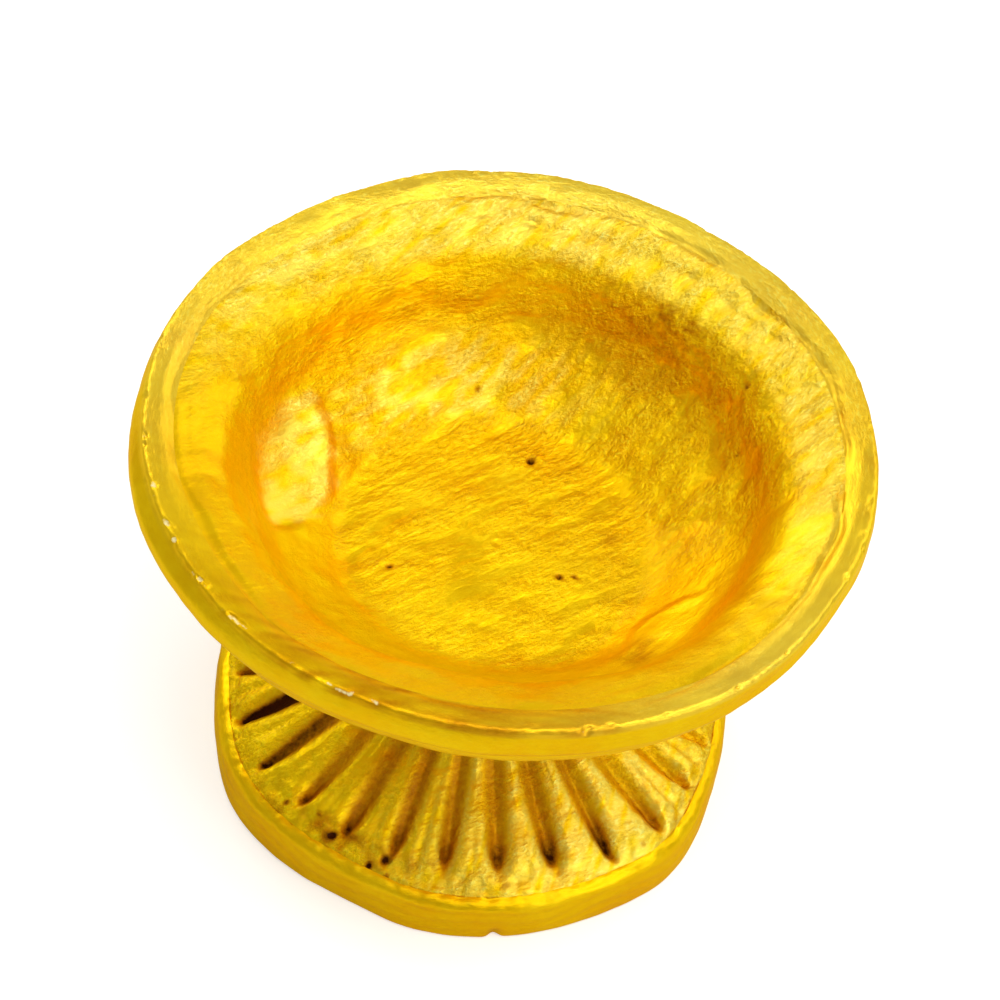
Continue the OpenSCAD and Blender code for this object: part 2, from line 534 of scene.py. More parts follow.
def coat_colour(tree, strokes):
    """The colour of the gold, from the strokes, with painted glints and shade, painted highlights and
    a painted reflection colour.
    """
    stops = [(0.3, DEEP_GOLD), (0.5, GOLD), (0.72, PALE_GOLD)]
    crests = math_node(tree, "MULTIPLY", strokes.outputs["Streak"], 0.7)
    hollows = math_node(tree, "MULTIPLY", strokes.outputs["Hollow"], 0.38)
    tone = ramp_node(tree, strokes.outputs["Blotch"], stops)
    # Painted glints on the crests, and painted shade in the hollows.
    tone = mix_colour(tree, crests, tone, GLINT_GOLD)
    tone = mix_colour(tree, hollows, tone, SHADE_GOLD)
    # Painted highlights, strongest on the crests of the strokes.
    patchy = math_node(tree, "ADD", crests, 0.35)
    painted_highlight = math_node(tree, "MULTIPLY", mask_node(tree, "painted_highlight"), patchy, clamp=True)
    tone = mix_colour(tree, painted_highlight, tone, PAINTED_HIGHLIGHT_GOLD)
    # Painted reflection: a yellower gold where the light mask is.
    return mix_colour(tree, mask_node(tree, "light"), tone, PAINTED_REFLECTION_GOLD)


def colour_with_wear_and_painted_light(tree, tone, worn_and_painted_light):
    """The same colour under brown dirt and black soot, and under painted shade in the same colours,
    or rubbed off down to the clay, which on the near edge of the rim is a painted highlight.
    """
    soil_and_shade = worn_and_painted_light.outputs["Soil and shade"]
    brown = math_node(tree, "MULTIPLY", soil_and_shade, 2.0, clamp=True)
    black = math_node(tree, "MULTIPLY", soil_and_shade, 2.0)
    black = math_node(tree, "SUBTRACT", black, 1.0, clamp=True)
    tone = mix_colour(tree, math_node(tree, "MULTIPLY", brown, 0.85), tone, BROWN_DIRT_AND_SHADE)
    tone = mix_colour(tree, black, tone, SOOT_AND_SHADE)
    return mix_colour(tree, worn_and_painted_light.outputs["Bare and highlight"], tone, CLAY_AND_HIGHLIGHT)


def dullness(tree, strokes, worn_and_painted_light, rough):
    """The roughness: uneven from place to place, and higher on bare clay, dirt and painted shade."""
    uneven = math_node(tree, "SUBTRACT", strokes.outputs["Blotch"], 0.5)
    uneven = math_node(tree, "MULTIPLY", uneven, 0.3)
    clay = math_node(tree, "MULTIPLY", worn_and_painted_light.outputs["Bare and highlight"], 0.4)
    soil_and_shade = math_node(tree, "MULTIPLY", worn_and_painted_light.outputs["Soil and shade"], 0.3)
    dull = math_node(tree, "ADD", uneven, rough)
    dull = math_node(tree, "ADD", dull, clay)
    return math_node(tree, "ADD", dull, soil_and_shade)


FLAKES = 0.92  # how metallic the paint is


def gold_paint(name, make_vector, crinkle=0.5, relief=0.0003, rough=0.37):
    """Gold paint over clay. relief is the height of the strokes in metres."""
    material = bpy.data.materials.new(name)
    material.use_nodes = True
    tree = material.node_tree
    links = tree.links
    shader = tree.nodes["Principled BSDF"]

    strokes = tree.nodes.new("ShaderNodeGroup")
    strokes.node_tree = strokes_group
    strokes.inputs["Crinkle"].default_value = crinkle
    links.new(make_vector(tree), strokes.inputs["Vector"])
    links.new(mask_node(tree, "dryness"), strokes.inputs["Dryness"])

    worn_and_painted_light = tree.nodes.new("ShaderNodeGroup")
    worn_and_painted_light.node_tree = wear_and_painted_light_group
    place = tree.nodes.new("ShaderNodeTexCoord")
    links.new(place.outputs["Object"], worn_and_painted_light.inputs["Vector"])
    links.new(mask_node(tree, "rubbed_and_highlight"), worn_and_painted_light.inputs["Rubbed and highlight"])
    links.new(mask_node(tree, "dirt_and_shade"), worn_and_painted_light.inputs["Dirt and shade"])

    tone = colour_with_wear_and_painted_light(tree, coat_colour(tree, strokes), worn_and_painted_light)
    links.new(tone, shader.inputs["Base Color"])
    painted = math_node(tree, "SUBTRACT", 1.0, worn_and_painted_light.outputs["Bare and highlight"])
    links.new(math_node(tree, "MULTIPLY", painted, FLAKES), shader.inputs["Metallic"])
    links.new(dullness(tree, strokes, worn_and_painted_light, rough), shader.inputs["Roughness"])
    shader.inputs["Specular Tint"].default_value = (*EDGE_TINT, 1)
    shader.inputs["Coat Weight"].default_value = 0.03
    shader.inputs["Coat Roughness"].default_value = 0.15

    bump = tree.nodes.new("ShaderNodeBump")
    bump.inputs["Strength"].default_value = 1.0
    bump.inputs["Distance"].default_value = relief
    links.new(strokes.outputs["Height"], bump.inputs["Height"])
    links.new(bump.outputs["Normal"], shader.inputs["Normal"])
    return material


def across(degrees):
    """Strokes straight across the lamp, at that angle from +X."""
    return lambda tree: straight_vector(tree, degrees)


def round_at(radius):
    """Strokes round the lamp, at that radius."""
    return lambda tree: round_vector(tree, radius)


FOOT_STROKES = 35  # degrees from +X
dish_paint = gold_paint("gold paint, brushed across", across(DISH_STROKES))
rim_paint = gold_paint("gold paint on the rim", round_at(rim_r), crinkle=0.35)
foot_paint = gold_paint("gold paint in the flutes", across(FOOT_STROKES), relief=0.0002)
strip_paint = gold_paint("gold paint, brushed round", round_at(base_r), crinkle=0.15, relief=0.0002)
slip_paint = gold_paint("gold paint on slip", round_at(neck_r), crinkle=0.6)
print("paints:", [m.name for m in bpy.data.materials if "gold" in m.name])


# %% Handing a piece over
def finish_piece(piece, node, slot, material):
    """Gives a piece its paint, and lets it stand for its CAD node."""
    piece.data.materials.append(material)
    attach(piece, "root")
    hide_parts(node)
    print(piece.name, "stands for", node, "with slot", slot)


# %% [markdown]
# ## The dish
#
# The dish was pressed over a mould and finished by hand. Its flange falls gently to a soft
# shoulder, the wall drops steeply, and a sloping bottom runs down to a flat floor inside a faint
# step. Somebody's thumb pushed a dent into the slope and dragged up a small lump beside it, and a
# second patch was smoothed opposite.
#
# Sculpt Mode could press the dents by hand, but they would be lost as soon as a size changes. So
# each dent here is a small tilted plane with soft edges, added to the height: a sculpting brush
# made of arithmetic. The same angles and distances place the masks, so a stain sits where its dent
# is. The dish and its coil share the wander of the rim, and so no gap opens between them.

# %% Wander of the rim
def rim_wander(turn):
    """How far the rim strays from round, in millimetres. The dish and its coil share it."""
    wave = 0.2 * np.cos(5 * (turn - math.radians(22))) + 0.08 * np.cos(9 * turn + 1)
    return wave + 0.3 * near_turn(turn, 50, 22)


def side_bulge(turn, r, z):
    """How far the outside below the rim bulges at the left and draws in at the right, in mm."""
    bulge = 0.95 * near_turn(turn, 207, 24) - 0.5 * near_turn(turn, 330, 32)
    return bulge * ease(rim_z - z, 0.3, 2) * ease(r, coil_r, rim_r - 0.5)


def rim_lift(turn):
    """How far the rim rises and falls, in millimetres."""
    return 0.1 * np.cos(3 * turn + 0.6) + 0.05 * np.cos(8 * turn)


SECOND_GROOVE = 2.1  # how far inside the first one the fainter groove runs


def groove(turn, r):
    """Depth of the groove beside the coil: clear at the back and right, faint elsewhere."""
    depth = 0.08 + 0.22 * near_turn(turn, 75, 60) + 0.16 * near_turn(turn, 0, 35)
    depth = depth + 0.1 * near_turn(turn, 165, 35)
    x, y = r * np.cos(turn), r * np.sin(turn)
    stray = 0.35 * waves(x, y, 0 * x, 9, 8)
    width = 0.42
    main = np.exp(-(((r - coil_r - stray) / width) ** 2))
    second = 0.55 * np.exp(-(((r - coil_r + SECOND_GROOVE - stray) / width) ** 2))
    second = second * near_turn(turn, 75, 50)
    return depth * (main + second) * (1 + 0.25 * waves(x, y, 0 * x, 4, 9))


whole_turn = np.radians(np.arange(360))
strays, rises = np.ptp(rim_wander(whole_turn)), np.ptp(rim_lift(whole_turn))
print(f"the rim strays by {strays:.2f} mm and rises by {rises:.2f} mm")


# %% Dents and pits
def local(grid, degrees, radius):
    """Distances from a spot on the dish: outward and round it, in millimetres."""
    a = math.radians(degrees)
    dx = grid["x"] - radius * math.cos(a)
    dy = grid["y"] - radius * math.sin(a)
    return dx * math.cos(a) + dy * math.sin(a), dy * math.cos(a) - dx * math.sin(a)


def thumb_dent(grid, degrees, radius, size, tilt, lift=0.0):
    """A tilted plane with soft edges. size and tilt are outward and round the dish."""
    u, v = local(grid, degrees, radius)
    window = ease(1.15 - (np.abs(u / size[0]) ** 1.5 + np.abs(v / size[1]) ** 1.5), 0, 0.45)
    return window * (lift + tilt[0] * u + tilt[1] * v)


def lump(grid, degrees, radius, width, height_mm):
    """A small round lump, or a pit where height_mm is below 0."""
    u, v = local(grid, degrees, radius)
    return height_mm * np.exp(-((u**2 + v**2) / width**2))


def scratch(grid, start, end, width, height_mm):
    """A thin line pressed between two spots, each given as degrees and radius."""
    ax, ay = (start[1] * f(math.radians(start[0])) for f in (math.cos, math.sin))
    bx, by = (end[1] * f(math.radians(end[0])) for f in (math.cos, math.sin))
    dx, dy = bx - ax, by - ay
    t = ((grid["x"] - ax) * dx + (grid["y"] - ay) * dy) / (dx**2 + dy**2)
    t = np.clip(t, 0, 1)
    away = np.hypot(grid["x"] - ax - t * dx, grid["y"] - ay - t * dy)
    return height_mm * np.exp(-((away / width) ** 2)) * (0.3 + 0.7 * np.sin(math.pi * t))


PITS = [  # degrees round the dish, distance from its middle, width, depth
    (79, 11.6, 0.45, 0.7),
    (336, 7.2, 0.4, 0.5),
    (342, 8.5, 0.3, 0.35),
    (34, 26.2, 0.3, 0.35),
    (205, 10.9, 0.35, 0.4),
    (103, 18.2, 0.3, 0.25),
    (24, 24.0, 0.3, 0.2),
]


def dish_dents(grid):
    """The thumb dent, the smoothed patch, lumps and a scratch, and apart from them the pits."""
    dents = thumb_dent(grid, 173, 20.7, (4.1, 8.4), (-0.26, -0.15), -0.25)
    dents = dents + lump(grid, 158, 18.0, 1.6, 0.8) + lump(grid, 176, 18.3, 0.9, -0.15)
    dents = dents + thumb_dent(grid, 328, 20.6, (3.8, 6.0), (-0.1, 0.04), 0.1)
    dents = dents + lump(grid, 317, 20.2, 1.3, -0.22)
    pits = np.zeros_like(grid["turn"])
    for degrees, radius, width, depth in PITS:
        pits += lump(grid, degrees, radius, 0.75 * width, -depth)
        dents = dents + lump(grid, degrees - 3, radius + 0.6, 1.2 * width, 0.25 * depth)
    dents = dents + scratch(grid, (268, 4.0), (322, 6.7), 0.14, -0.12)
    return dents, pits


print(len(PITS), "pits, the deepest", max(depth for *_, depth in PITS), "mm")

# %% The outline of the dish
brow = (rim_r - 1.9, coil_base_z - 2.4)
lip = (rim_r - 0.3, coil_base_z)
flat_r = 6  # inside this the floor is plain, and needs fewer points
dish_outline = path(
    ([(0, peg_base_z), (peg_r, peg_base_z)], 2),
    ([(peg_r, peg_base_z), (peg_r, seat_z)], 2),
    ([(peg_r, seat_z), (neck_r, seat_z)], 2),
    (bow((neck_r, seat_z), brow, 1.6), 0.8),
    (bow(brow, lip, 0.4), 0.4),
    ([lip, (coil_r, coil_base_z), (coil_r, groove_z)], 1.2),
    softened(
        [
            (coil_r, groove_z),
            (shoulder_r + 2.6, shoulder_z + 1.3),
            (shoulder_r, shoulder_z),
            (shoulder_r - 1.4, shoulder_z - 2.0),
            (shoulder_r - 2.6, floor_z + 7.2),
            (shoulder_r - 4.6, floor_z + 5),
            (floor_r, floor_z + 0.4),
            (floor_r - 1.2, floor_z),
            (flat_r, floor_z),
        ],
        step=0.3,
        reach_mm=1.9,
    ),
    ([(flat_r, floor_z), (0, floor_z)], 0.6),
)
first_inside = int(np.argmax(dish_outline[:, 1] > groove_z - 0.01))
print(len(dish_outline), "points in the outline, of which", first_inside, "are on the underside")


# %% Relief of the dish
RING_PITCH = 1.3  # of the rings that a finger left in the far flange


def dish_relief(grid, inside):
    """How far the skin is pushed out, in millimetres: soft swells, ripples and rings."""
    x, y, r, z, turn = (grid[k] for k in ("x", "y", "r", "z", "turn"))
    relief = 0.02 * waves(x, y, z, 3.2, 3) + 0.006 * waves(x, y, z, 1.5, 4)
    relief += 0.05 * waves(x, y, z, 8, 5)
    steep = ease(z, floor_z + 6, floor_z + 9) * ease(shoulder_z + 1.5 - z, 0, 2)
    relief += 0.05 * steep * waves(x, y, z * 0.5, 4.5, 6)
    rings = near_turn(turn, 172, 24) * ease(r, coil_r - 4, coil_r - 3)
    rings = rings * 0.03 * np.sin(r * 2 * math.pi / RING_PITCH)
    return relief + np.where(inside, rings, 0)


print("rings in the far flange are", RING_PITCH, "mm apart")


# %% Masks of the dish
def dish_dirt_and_shade(grid, pits, seam):
    """Darker in the pits, dirt in the groove, a smudge and stains, and painted shade on the far wall.
    """
    x, y, r, z, turn = (grid[k] for k in ("x", "y", "r", "z", "turn"))
    smudge = near_turn(turn, 58, 17) * ease(r, 23.6, 25.6) * ease(27.6 - r, 0, 1.2)
    grain = 0.2 + 0.1 * waves(x, y, z, 2.5, 10) + 0.15 * waves(x, y, z, 0.7, 15)
    smudge = smudge * np.clip(grain, 0, 0.6)
    stains_and_shade = lump(grid, 317, 20.4, 1.3, 0.22) + lump(grid, 322, 19.2, 1.0, 0.18)
    stains_and_shade = stains_and_shade + lump(grid, 14, 11.4, 0.9, 0.35)
    # Painted shade: the far wall of the dish is darker.
    far_wall = near_turn(turn, 62, 42) * ease(r, 20, 22) * ease(25.5 - r, 0, 2)
    stains_and_shade = stains_and_shade + 0.13 * far_wall * np.clip(1 + 0.5 * brushed(x, y, 0.9, 20), 0, 2)
    streaks = np.clip(0.6 * brushed(x, y, 0.7, 18), -1, 1)
    stains_and_shade = stains_and_shade + lump(grid, 350, 12.5, 4.5, 0.13)
    stains_and_shade = stains_and_shade + 0.14 * lump(grid, 318, 20.2, 2.6, 1) * (1 + streaks)
    return np.clip(-pits * 3, 0, 1) + smudge + stains_and_shade + seam * 0.25


def dish_painted_highlight(grid, facet, streaky):
    """Painted highlights: on the far flange, the thumb dent and the far slope."""
    r, turn = grid["r"], grid["turn"]
    painted_highlight = 0.9 * near_turn(turn, 95, 45) * ease(r, 26.2, 27.6)
    painted_highlight = painted_highlight + 0.8 * near_turn(turn, 15, 38) * ease(r, 27, 28.5)
    painted_highlight = painted_highlight + 0.75 * near_turn(turn, 145, 22) * ease(r, 28.5, 30)
    painted_highlight = painted_highlight + 0.9 * ease(facet, 0, 0.25)
    slope_far = near_turn(turn, 115, 34) * ease(r, 15.5, 17) * ease(23.5 - r, 0, 3)
    painted_highlight = painted_highlight + slope_far * np.clip(0.35 + 0.5 * streaky, 0, 1)
    return painted_highlight * np.clip(0.8 + 0.35 * streaky, 0, 1)


def dish_masks(grid, inside, pits, seam):
    """The masks of the dish. Below the rim it is clean and smoothly painted."""
    x, y, r, turn = (grid[k] for k in ("x", "y", "r", "turn"))
    u, v = local(grid, 172, 20.6)
    streaky = brushed(x, y, 0.8, 16) + 0.7 * brushed(x, y, 2.2, 17)
    facet = 1.1 - (np.abs(u / 3.9) ** 1.4 + np.abs(v / 8.4) ** 1.4) + 0.07 * streaky
    dryness = 0.3 + 0.8 * np.maximum(ease(y, -6, 8), 0.75 * ease(floor_r + 1 - r, 0, 3))
    dryness = dryness * (1 - 0.45 * near_turn(turn, 185, 30) * ease(r, 16, 20))
    # Painted reflection colour on the near wall, away from the thumb dent.
    wall = ease(r, floor_r - 1, floor_r + 2) * ease(shoulder_r + 1 - r, 0, 2)
    wall = wall * near_turn(turn, 235, 72) * (1 - ease(facet, 0, 0.2))
    return {
        "dirt_and_shade": np.where(inside, dish_dirt_and_shade(grid, pits, seam), 0),
        "rubbed_and_highlight": 0.0,
        "dryness": np.where(inside, dryness, 0.25),
        # The pale gold of painted highlights.
        "painted_highlight": np.where(inside, dish_painted_highlight(grid, facet, streaky), 0),
        # A yellower gold, as painted reflection on the near wall.
        "light": np.where(inside, 0.9 * wall, 0),
    }


print("masks of the dish: dirt, rubbed, dryness, thin and light")


# %% Press and turn the dish
def press_dish(grid):
    """Presses the dish. What the foot, the slip or the coil touches stays true."""
    x, y, r, z, turn = (grid[k] for k in ("x", "y", "r", "z", "turn"))
    inside = np.arange(len(dish_outline)) >= first_inside
    under = ease(z, seat_z + 1, seat_z + 5) * ease(coil_base_z - z, 0, 3)
    free = np.where(inside, ease(coil_r - r, 0, 1.5), under)
    free = np.where(inside | (r < rim_r - 0.2), free, 0)
    push = free * dish_relief(grid, inside)
    lift = 0.16 * waves(x, y, 0 * z, 24, 7)
    dents, pits = dish_dents(grid)
    dents = np.where(inside, dents + pits, 0)
    seam = np.where(inside, groove(turn, r), 0)
    new_r = r + push * grid["out"][:, 0] + rim_wander(turn) * ease(r, neck_r, rim_r)
    new_r = new_r + side_bulge(turn, r, z)
    new_z = z + push * grid["out"][:, 1] + free * lift + dents - seam
    new_z = new_z + rim_lift(turn) * ease(z, coil_base_z - 6, coil_base_z)
    return new_r, new_z, dish_masks(grid, inside, pits, seam)


dish = turned("dish_clay", dish_outline, around=480, press=press_dish)
finish_piece(dish, "dish", "gold_dish", dish_paint)

# %% [markdown]
# ## The rim coil
#
# A coil of clay on the edge makes the rim strong. Its outside swells a little, its top is nearly
# flat, and the edge between them is crisp but chipped. The chips could be cut with a Boolean, but
# so many small cuts make a poor mesh. Here they are random notches that bite only near that edge,
# and the same notches raise the mask that lets bare clay show. At the front that pale band is
# widened as a painted highlight, and the top of the coil there is darkened with painted shade. The
# back, the right front and the left of the top get painted highlights.

# %% Press and turn the rim coil
widest = (rim_r + swell, coil_base_z + 1.2)
top_edge = (rim_r - 0.35, rim_z)
coil_outline = path(
    ([(coil_r, coil_base_z), lip], 0.8),
    (bow(lip, widest, 0.15), 0.2),
    (bow(widest, (rim_r + 0.15, rim_z - 0.5), 0.12), 0.2),
    (bow((rim_r + 0.15, rim_z - 0.5), top_edge, 0.12), 0.1),
    softened([top_edge, (coil_r + 1.4, rim_z - 0.05), (coil_r, groove_z)], 0.2, 0.6),
    ([(coil_r, groove_z), (coil_r, coil_base_z)], 0.8),
)[:-1]


def press_coil(grid):
    """Presses the coil, and chips its edge."""
    x, y, r, z, turn = (grid[k] for k in ("x", "y", "r", "z", "turn"))
    free = ease(r, coil_r, coil_r + 1.5) * ease(z, coil_base_z, coil_base_z + 0.5)
    top = ease(z, groove_z - 0.2, groove_z)
    relief = 0.012 * waves(x, y, z, 2.4, 11) + 0.04 * waves(x, y, z, 7, 12)
    edge = np.exp(-(((r - rim_r) ** 2 + (z - rim_z) ** 2) / 0.6**2))
    nibble = waves(x, y, 0 * z, 0.9, 13) + 0.6 * waves(x, y, 0 * z, 2.5, 14)
    chips = edge * (0.02 * nibble + 0.2 * ease(nibble, 1.7, 2.8))
    new_r = r + free * relief * grid["out"][:, 0] - 0.8 * chips + rim_wander(turn)
    new_r = new_r + side_bulge(turn, r, z)
    new_z = z + free * relief * grid["out"][:, 1] - chips + rim_lift(turn) - top * groove(turn, r)
    flecks = 0.6 + 0.5 * ease(nibble, 0.3, 1.8)
    # Painted shade on the top of the coil, at the front.
    near_rim_shade = top * (0.28 + 0.08 * brushed(x, y, 1.2, 19, 0)) * near_turn(turn, 262, 40)
    # Painted highlights on the top of the coil, at the back, the right front and the left.
    painted_highlight = 0.8 * near_turn(turn, 80, 70) + 0.7 * near_turn(turn, 315, 30)
    painted_highlight = painted_highlight + 0.4 * near_turn(turn, 170, 30)
    return new_r, new_z, {
        # Bare clay where the edge is worn, and a wider band at the front as a painted highlight.
        "rubbed_and_highlight": edge * (0.2 + 0.5 * near_turn(turn, 240, 70)) * flecks,
        "dirt_and_shade": 0.25 * top * groove(turn, r) + near_rim_shade,
        "painted_highlight": top * painted_highlight,
        "dryness": 0.25 + 0.45 * ease(y, -5, 15),
    }


coil = turned("rim_coil_clay", coil_outline, around=720, press=press_coil, ring=True)
finish_piece(coil, "rim_coil", "gold_rim", rim_paint)

# %% [markdown]
# ## The fluted foot
#
# The flutes were cut with a tool while the clay was soft: a deep one, then a shallow one, all the
# way round, and no two alike. A flute here is a valley in the push that moves the skin outward.
# The angle is warped first, so the spacing drifts as it does by hand, and each flute draws its own
# depth and length from a fixed seed. The flutes die out in a lumpy zone just above the strip. A
# cutter in an array, with a Boolean, would be quicker to set up, but all flutes would be alike.

# %% Wander of the base
def base_wander(turn):
    """How far the base strays from round, in millimetres: flats, corners and a nick."""
    front = -0.5 * near_turn(turn, 248, 12) + 0.45 * near_turn(turn, 217, 14)
    front = front + 0.6 * near_turn(turn, 322, 13) + 0.3 * near_turn(turn, 268, 30)
    sides = front - 0.4 * near_turn(turn, 188, 14) - 0.6 * near_turn(turn, 355, 18)
    return sides + 0.12 * np.sin(4 * turn) * near_turn(turn, 90, 60)


def hem(x, y, z):
    """Lumps of clay smeared along the joint of the foot and its strip. The two pieces share them."""
    near = np.exp(-(((z - strip_z - 0.5) / 1.3) ** 2))
    return near * (0.05 * waves(x, y, z, 2.6, 23) + 0.02 * waves(x, y, z, 1.1, 24))


print(f"the base strays by {np.ptp(base_wander(whole_turn)):.2f} mm")

# %% Flutes
FLUTES = 26
FIRST_FLUTE = math.radians(5.6)
flute_rng = np.random.default_rng(26)
flute_depths = flute_rng.uniform(0.85, 1.2, FLUTES)
flute_widths = flute_rng.uniform(0.9, 1.25, FLUTES)
flute_ends = flute_rng.uniform(0.0, 1.4, FLUTES)
fine_depths = flute_rng.uniform(0.2, 1.2, FLUTES)


def drifted(turn):
    """The angle after the drift of a hand that spaces the flutes by eye."""
    return turn - np.radians(1.2) - np.radians(1.2) * np.sin(3 * (turn - math.radians(200)))


def flute_push(turn, r, up):
    """The push of the flutes at a point of the skirt, and a mask of their valleys.

    up is the distance above the strip, along the skirt.
    """
    count = (drifted(turn) - FIRST_FLUTE) / (2 * math.pi / FLUTES)
    which = np.round(count).astype(int) % FLUTES
    between = np.floor(count).astype(int) % FLUTES
    pitch = 2 * math.pi / FLUTES * r
    off = np.abs(count - np.round(count)) * pitch
    off_fine = np.abs(count - np.floor(count) - 0.5) * pitch
    wide = flute_widths[which] * (1.35 - 0.6 * ease(r, neck_r + 5, skirt_r))
    wide = wide * (0.6 + 0.4 * ease(up, 0.5, 5))
    deep = flute_depths[which] * np.exp(-((off / wide) ** 2))
    fine = 0.35 * fine_depths[between] * np.exp(-((off_fine / 0.5) ** 2))
    crown = 0.32 * np.sin(math.pi * (count - np.floor(count))) ** 0.6
    front = near_turn(turn, 265, 42)
    start = flute_ends[which] * (0.3 + 0.7 * front) + 0.8 * front
    fade = ease(up, start, start + 1.3 + 2 * front)
    taper = 0.55 + 0.45 * ease(r, neck_r, skirt_r)
    return fade * taper * (crown - deep - fine), fade * np.exp(-((off / (0.8 * wide)) ** 2))


print(f"{FLUTES} deep flutes, {flute_depths.min():.2f} to {flute_depths.max():.2f} mm deep")

# %% The outline of the foot
FOOT_PITS = [  # degrees round the foot, distance from its middle, width
    (241, 24.1, 0.38),
    (255, 23.9, 0.42),
    (252, 25.0, 0.3),
    (339, 22.6, 0.25),
]
SLOPE = math.radians(30)
SWEEP = 9
STAND_WIDTH = 4.4
SKIRT_THICKNESS = 4
PEG_GAP = 0.25
sweep_z = strip_z + (skirt_r - neck_r) * math.tan(SLOPE)
sweep_z = sweep_z + SWEEP * math.tan((math.pi / 2 - SLOPE) / 2)
sweep_turn = np.linspace(270 - math.degrees(SLOPE), 180, 14)
sweep = [
    (neck_r + SWEEP + SWEEP * math.cos(math.radians(a)), sweep_z + SWEEP * math.sin(math.radians(a)))
    for a in sweep_turn
]
hollow_r = skirt_r - STAND_WIDTH
hollow_z = strip_z + STAND_WIDTH * math.tan(SLOPE) - SKIRT_THICKNESS / math.cos(SLOPE)
roof_r = 9
roof_z = hollow_z + (hollow_r - roof_r) * math.tan(SLOPE)
socket_r = peg_r + PEG_GAP
socket_z = peg_base_z - PEG_GAP
foot_outline = path(
    ([(0, roof_z), (roof_r, roof_z)], 1.2),
    (bow((roof_r, roof_z), (hollow_r, hollow_z), 0.2), 0.9),
    ([(hollow_r, hollow_z), (hollow_r, 0.3)], 0.7),
    (bow((hollow_r, 0.3), (hollow_r + 0.5, 0), -0.05, 4), 0.2),
    ([(hollow_r + 0.5, 0), (skirt_r, 0), (skirt_r, strip_z - 0.4)], 1.2),
    ([(skirt_r, strip_z - 0.4), (skirt_r, strip_z), *sweep], 0.28),
    ([sweep[-1], (neck_r, foot_z)], 0.5),
    ([(neck_r, foot_z), (socket_r, foot_z), (socket_r, socket_z), (0, socket_z)], 1.5),
)
past_widest = np.arange(len(foot_outline)) > np.argmax(foot_outline[:, 0])
outside = past_widest & (foot_outline[:, 0] > neck_r - 0.01)
outside &= foot_outline[:, 1] > strip_z - 0.5
print(len(foot_outline), "points in the outline, of which", outside.sum(), "are on the outside")


# %% Press and turn the foot
def press_foot(grid):
    """Presses the flutes into the outside, and leaves the hollow nearly plain."""
    x, y, r, z, turn = (grid[k] for k in ("x", "y", "r", "z", "turn"))
    up = (z - strip_z) / math.sin(SLOPE)
    flutes, valley = flute_push(turn, r, up)
    flutes = flutes * ease(foot_z - z, 0.5, 3)
    ragged = ease(up, -0.3, 0.4) * ease(3.6 - up, 0, 1.6)
    relief = 0.015 * waves(x, y, z, 2.0, 21) + 0.04 * waves(x, y, z, 6, 22)
    relief += hem(x, y, z) + ragged * 0.05 * waves(x, y, z, 1.7, 28)
    mottle = np.clip(0.25 + 0.3 * waves(x, y, z, 2.4, 29), 0, 0.7)
    mottle = ragged * near_turn(turn, 242, 20) * mottle
    push = np.where(outside, flutes + relief * ease(foot_z - z, 0, 1), 0)
    # Painted shade in the bottoms of the flutes, darkest at the left and along the near side.
    valley_shade = 0.12 + 1.1 * near_turn(turn, 200, 18) + 0.15 * near_turn(turn, 252, 30)
    near_side = 0.38 * near_turn(turn, 250, 30) + 0.9 * near_turn(turn, 300, 30)
    valley_shade = valley_shade + near_side * (0.3 + 0.7 * ease(6.5 - up, 0, 4))
    specks = ragged * ease(waves(x, y, z, 2.2, 27), 1.6, 2.2)
    specks = specks * (0.3 + 0.7 * near_turn(turn, 240, 25))
    # Painted shade on the upper skirt at the front, under the dish.
    shade_under_dish = 0.08 * near_turn(turn, 247, 26) * ease(skirt_r - 2.5 - r, 0, 3)
    dirt_and_shade = ease(valley, 0.05, 0.85) * valley_shade + specks + shade_under_dish + mottle
    for degrees, away, width in FOOT_PITS:
        a = math.radians(degrees)
        off = np.hypot(x - away * math.cos(a), y - away * math.sin(a))
        dirt_and_shade = dirt_and_shade + 1.2 * np.exp(-((off / width) ** 2))
        push = push - np.where(outside, 0.5 * np.exp(-((off / width) ** 2)), 0)
    under = ease(roof_z + 0.5 - z, 0, 1) * 0.12 * waves(x, y, z, 5, 25) * (r < hollow_r)
    under = np.where(outside, 0, under)
    low = ease(strip_z + 4 - z, 0, 4) * ease(r, roof_r, hollow_r)
    new_r = r + push * grid["out"][:, 0] + under + low * base_wander(turn)
    new_z = np.maximum(z + push * grid["out"][:, 1], 0)
    ridge = np.where(outside, 1 - ease(valley, 0.05, 0.5), 0)
    # Painted highlights on the ridges at the right front and the front.
    pale = 1.1 * near_turn(turn, 318, 34) + 0.5 * near_turn(turn, 280, 22)
    return new_r, new_z, {
        "dirt_and_shade": np.where(outside, dirt_and_shade, 0),
        "rubbed_and_highlight": np.where(outside, 0.1 * ease(flutes, 0.2, 0.4), 0),
        "painted_highlight": ridge * np.clip(0.75 + 0.4 * brushed(x, y, 0.8, 30, 80), 0, 1) * pale,
        # A yellower gold, as painted reflection on the near ridges.
        "light": 0.35 * ridge * near_turn(turn, 245, 40),
        "dryness": 0.9 + 0.3 * ragged,
    }


foot = turned("foot_clay", foot_outline, around=728, press=press_foot)
finish_piece(foot, "fluted_foot", "gold_foot", foot_paint)

# %% [markdown]
# ## The base strip and the neck slip
#
# The strip is a flat ribbon of clay wrapped round the base, with a ragged upper edge, flats where
# it was set down while soft, and a nick below where its ends meet. The slip is a bead that squeezed
# out when the dish was pushed onto its peg. Both are small rings, so both use the lathe.

